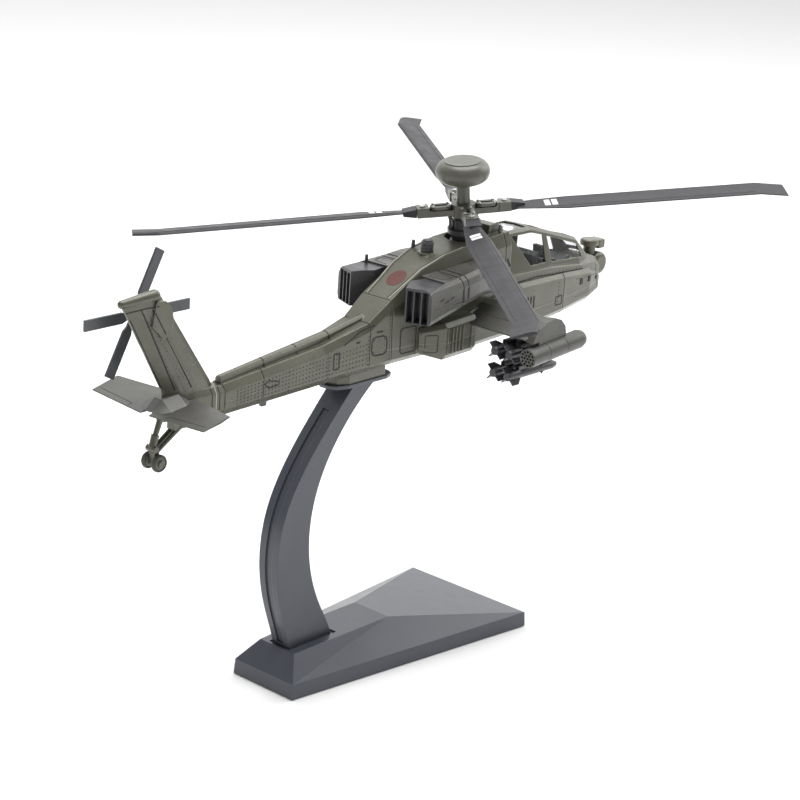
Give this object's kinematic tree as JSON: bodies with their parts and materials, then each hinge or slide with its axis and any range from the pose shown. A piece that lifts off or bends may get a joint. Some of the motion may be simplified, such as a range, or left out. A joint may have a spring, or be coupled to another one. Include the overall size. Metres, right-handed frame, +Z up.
{
  "type": "toy attack helicopter on a display stand",
  "caption": "Scale model twin-engine attack helicopter with a turning main rotor, tail rotor and wheels, on a crescent display stand with a wedge base.",
  "frame": {"origin": "centre of the stand's underside, on the surface it stands on", "axes": "+X towards the nose, +Y to port (the pilot's left), +Z up"},
  "size_m": [0.2506, 0.1798, 0.172],
  "materials": {
    "body_paint": "satin olive grey-green paint with dark panel wash",
    "hub_plastic": "moulded grey-green plastic",
    "dark_plastic": "black plastic, satin",
    "blade_plastic": "dark grey plastic, satin",
    "tyre_rubber": "matt black",
    "stand_plastic": "dark slate, satin gloss",
    "steel": "plain steel",
    "bearing_brass": "plain brass",
    "clear_plastic": "clear moulded plastic"
  },
  "bodies": {
    "stand": {"stand_base": "stand_plastic", "base_cover": "stand_plastic", "stand_arm": "stand_plastic", "stand_screws": "steel"},
    "airframe": {"antennas": "dark_plastic", "beacon": "dark_plastic", "belly_pan": "body_paint", "body_screws": "steel", "canopy_frame": "body_paint", "canopy_glass": "clear_plastic", "cockpit_tub": "dark_plastic", "engine_nacelle_left": "body_paint", "engine_nacelle_right": "body_paint", "exhaust_left": "dark_plastic", "exhaust_right": "dark_plastic", "gunner_seat": "dark_plastic", "intake_fairing_left": "body_paint", "intake_fairing_right": "body_paint", "main_gear_left": "body_paint", "main_gear_right": "body_paint", "mast_bush": "bearing_brass", "missile_launcher_left": "dark_plastic", "missile_launcher_right": "dark_plastic", "missiles_left": "dark_plastic", "missiles_right": "dark_plastic", "night_sensor": "body_paint", "nose_turret": "body_paint", "pilot_seat": "dark_plastic", "rocket_pod_left": "body_paint", "rocket_pod_right": "body_paint", "stabilator": "body_paint", "stand_saddle": "body_paint", "stub_wing_left": "body_paint", "stub_wing_right": "body_paint", "tail_fin": "body_paint", "tail_gear_leg": "body_paint", "upper_body": "body_paint", "wheel_retainers": "hub_plastic"},
    "main_rotor": {"rotor_mast": "steel", "mast_clip": "steel", "swashplate": "dark_plastic", "rotor_hub": "hub_plastic", "main_blade_1": "blade_plastic", "main_blade_2": "blade_plastic", "main_blade_3": "blade_plastic", "main_blade_4": "blade_plastic", "blade_pins": "steel", "pitch_links": "dark_plastic", "radome_column": "hub_plastic", "radome": "hub_plastic"},
    "tail_rotor": {"tail_rotor_shaft": "steel", "tail_rotor_hub": "blade_plastic", "tail_blades_inner": "blade_plastic", "tail_blades_outer": "blade_plastic"},
    "gun": {"chain_gun": "dark_plastic"},
    "wheel_left": {"main_wheel_left": "tyre_rubber"},
    "wheel_right": {"main_wheel_right": "tyre_rubber"},
    "tail_wheel_pair": {"tail_wheels": "tyre_rubber"}
  },
  "joints": [
    {"name": "airframe_lift", "type": "slide", "parent": "stand", "child": "airframe", "axis": [0, 0, 1], "range_m": [0, 0.012]},
    {"name": "main_rotor_spin", "type": "hinge", "parent": "airframe", "child": "main_rotor", "pos_m": [0.03425, 0, 0.154], "axis": [-0.1374, 0, 0.9905], "continuous": true},
    {"name": "tail_rotor_spin", "type": "hinge", "parent": "airframe", "child": "tail_rotor", "pos_m": [-0.10725, 0.0093, 0.13795], "axis": [0, 1, 0], "continuous": true},
    {"name": "gun_yaw", "type": "hinge", "parent": "airframe", "child": "gun", "pos_m": [0.07725, 0, 0.11], "axis": [0, 0, 1], "range_deg": [-60, 60]},
    {"name": "wheel_left_spin", "type": "hinge", "parent": "airframe", "child": "wheel_left", "pos_m": [0.05975, 0.0159, 0.1005], "axis": [0, 1, 0], "continuous": true},
    {"name": "wheel_right_spin", "type": "hinge", "parent": "airframe", "child": "wheel_right", "pos_m": [0.05975, -0.0159, 0.1005], "axis": [0, 1, 0], "continuous": true},
    {"name": "tail_wheel_spin", "type": "hinge", "parent": "airframe", "child": "tail_wheel_pair", "pos_m": [-0.10675, 0, 0.093], "axis": [0, 1, 0], "continuous": true}
  ]
}
